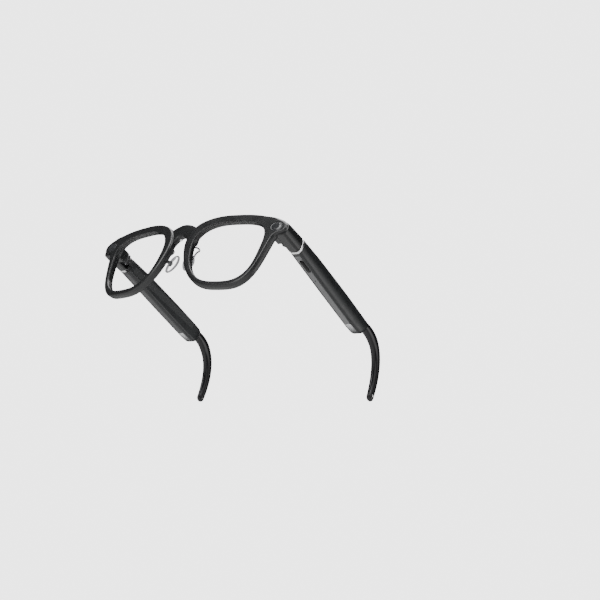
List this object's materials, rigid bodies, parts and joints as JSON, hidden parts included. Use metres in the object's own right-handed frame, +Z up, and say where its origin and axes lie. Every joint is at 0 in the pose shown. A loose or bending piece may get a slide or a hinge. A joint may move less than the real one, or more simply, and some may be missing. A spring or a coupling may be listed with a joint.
{
  "type": "smart_glasses",
  "caption": "Smart glasses with clear lenses, thick rims, folding temples that hold speakers and batteries, a camera window, nose pads on wire arms and slim ear hooks.",
  "frame": {"origin": "Middle of the footprint, on the table that the open glasses stand on.", "axes": "+X across the face, towards the temple that carries the power button; -Y is where the lenses look; +Z is up."},
  "size_m": [0.144, 0.1358, 0.0492],
  "materials": {
    "frame_plastic": "satin",
    "lens_clear": "polished, clear",
    "window_dark": "polished, smoked",
    "dark_part": "matte",
    "board": "coated circuit board",
    "flex_copper": "polyimide film",
    "steel": "turned",
    "hinge_metal": "black plated",
    "silver": "polished",
    "silicone": "clear, soft",
    "cover_plastic": "matte",
    "strip_grey": "satin",
    "grille_silver": "fine blasted",
    "cell_wrap": "foil pouch",
    "gloss_black": "glossy",
    "gold": "gold plated"
  },
  "bodies": {
    "front": {"front_frame": "frame_plastic", "lens_right": "lens_clear", "lens_left": "lens_clear", "camera_window": "window_dark", "camera_module": "dark_part", "status_window": "window_dark", "status_light": "board", "front_flex": "flex_copper", "bridge_microphone": "steel", "front_hinge_right": "hinge_metal", "front_hinge_left": "hinge_metal", "hinge_screw_right": "steel", "hinge_screw_left": "steel", "hinge_plate_screws": "steel", "nose_wire_right": "silver", "nose_wire_left": "silver"},
    "right_temple": {"temple_ring_right": "silver", "temple_hinge_right": "hinge_metal", "temple_shell_right": "frame_plastic", "temple_cover_right": "cover_plastic", "temple_strip_right": "strip_grey", "speaker_grille_right": "grille_silver", "speaker_right": "dark_part", "battery_right": "cell_wrap", "main_board": "board", "button_switch": "steel", "temple_microphone": "steel", "ear_hook_right": "gloss_black", "hook_core_right": "steel", "tip_rivet_right": "silver"},
    "left_temple": {"temple_ring_left": "silver", "temple_hinge_left": "hinge_metal", "temple_shell_left": "frame_plastic", "temple_cover_left": "cover_plastic", "temple_strip_left": "strip_grey", "speaker_grille_left": "grille_silver", "speaker_left": "dark_part", "battery_left": "cell_wrap", "touch_board": "board", "charge_contacts": "gold", "ear_hook_left": "gloss_black", "hook_core_left": "steel", "tip_rivet_left": "silver"},
    "button": {"power_button": "gloss_black"},
    "right_pad": {"nose_clasp_right": "silver", "nose_pad_right": "silicone"},
    "left_pad": {"nose_clasp_left": "silver", "nose_pad_left": "silicone"}
  },
  "joints": [
    {"name": "right_temple_hinge", "type": "hinge", "parent": "front", "child": "right_temple", "pos_m": [0.0633, -0.04765, 0.0388], "axis": [0, 0, 1], "range_deg": [0, 90]},
    {"name": "left_temple_hinge", "type": "hinge", "parent": "front", "child": "left_temple", "pos_m": [-0.0633, -0.04765, 0.0388], "axis": [0, 0, -1], "range_deg": [0, 70]},
    {"name": "power_button_press", "type": "slide", "parent": "right_temple", "child": "button", "axis": [0, 0, 1], "range_m": [0, 0.0004], "stiffness_N_per_m": 600},
    {"name": "right_pad_rock", "type": "hinge", "parent": "front", "child": "right_pad", "pos_m": [0.00852, -0.05994, 0.02223], "axis": [-0.3446, -0.9235, 0.1686], "range_deg": [-12, 12]},
    {"name": "left_pad_rock", "type": "hinge", "parent": "front", "child": "left_pad", "pos_m": [-0.00852, -0.05994, 0.02223], "axis": [-0.3446, 0.9235, -0.1686], "range_deg": [-12, 12]}
  ]
}
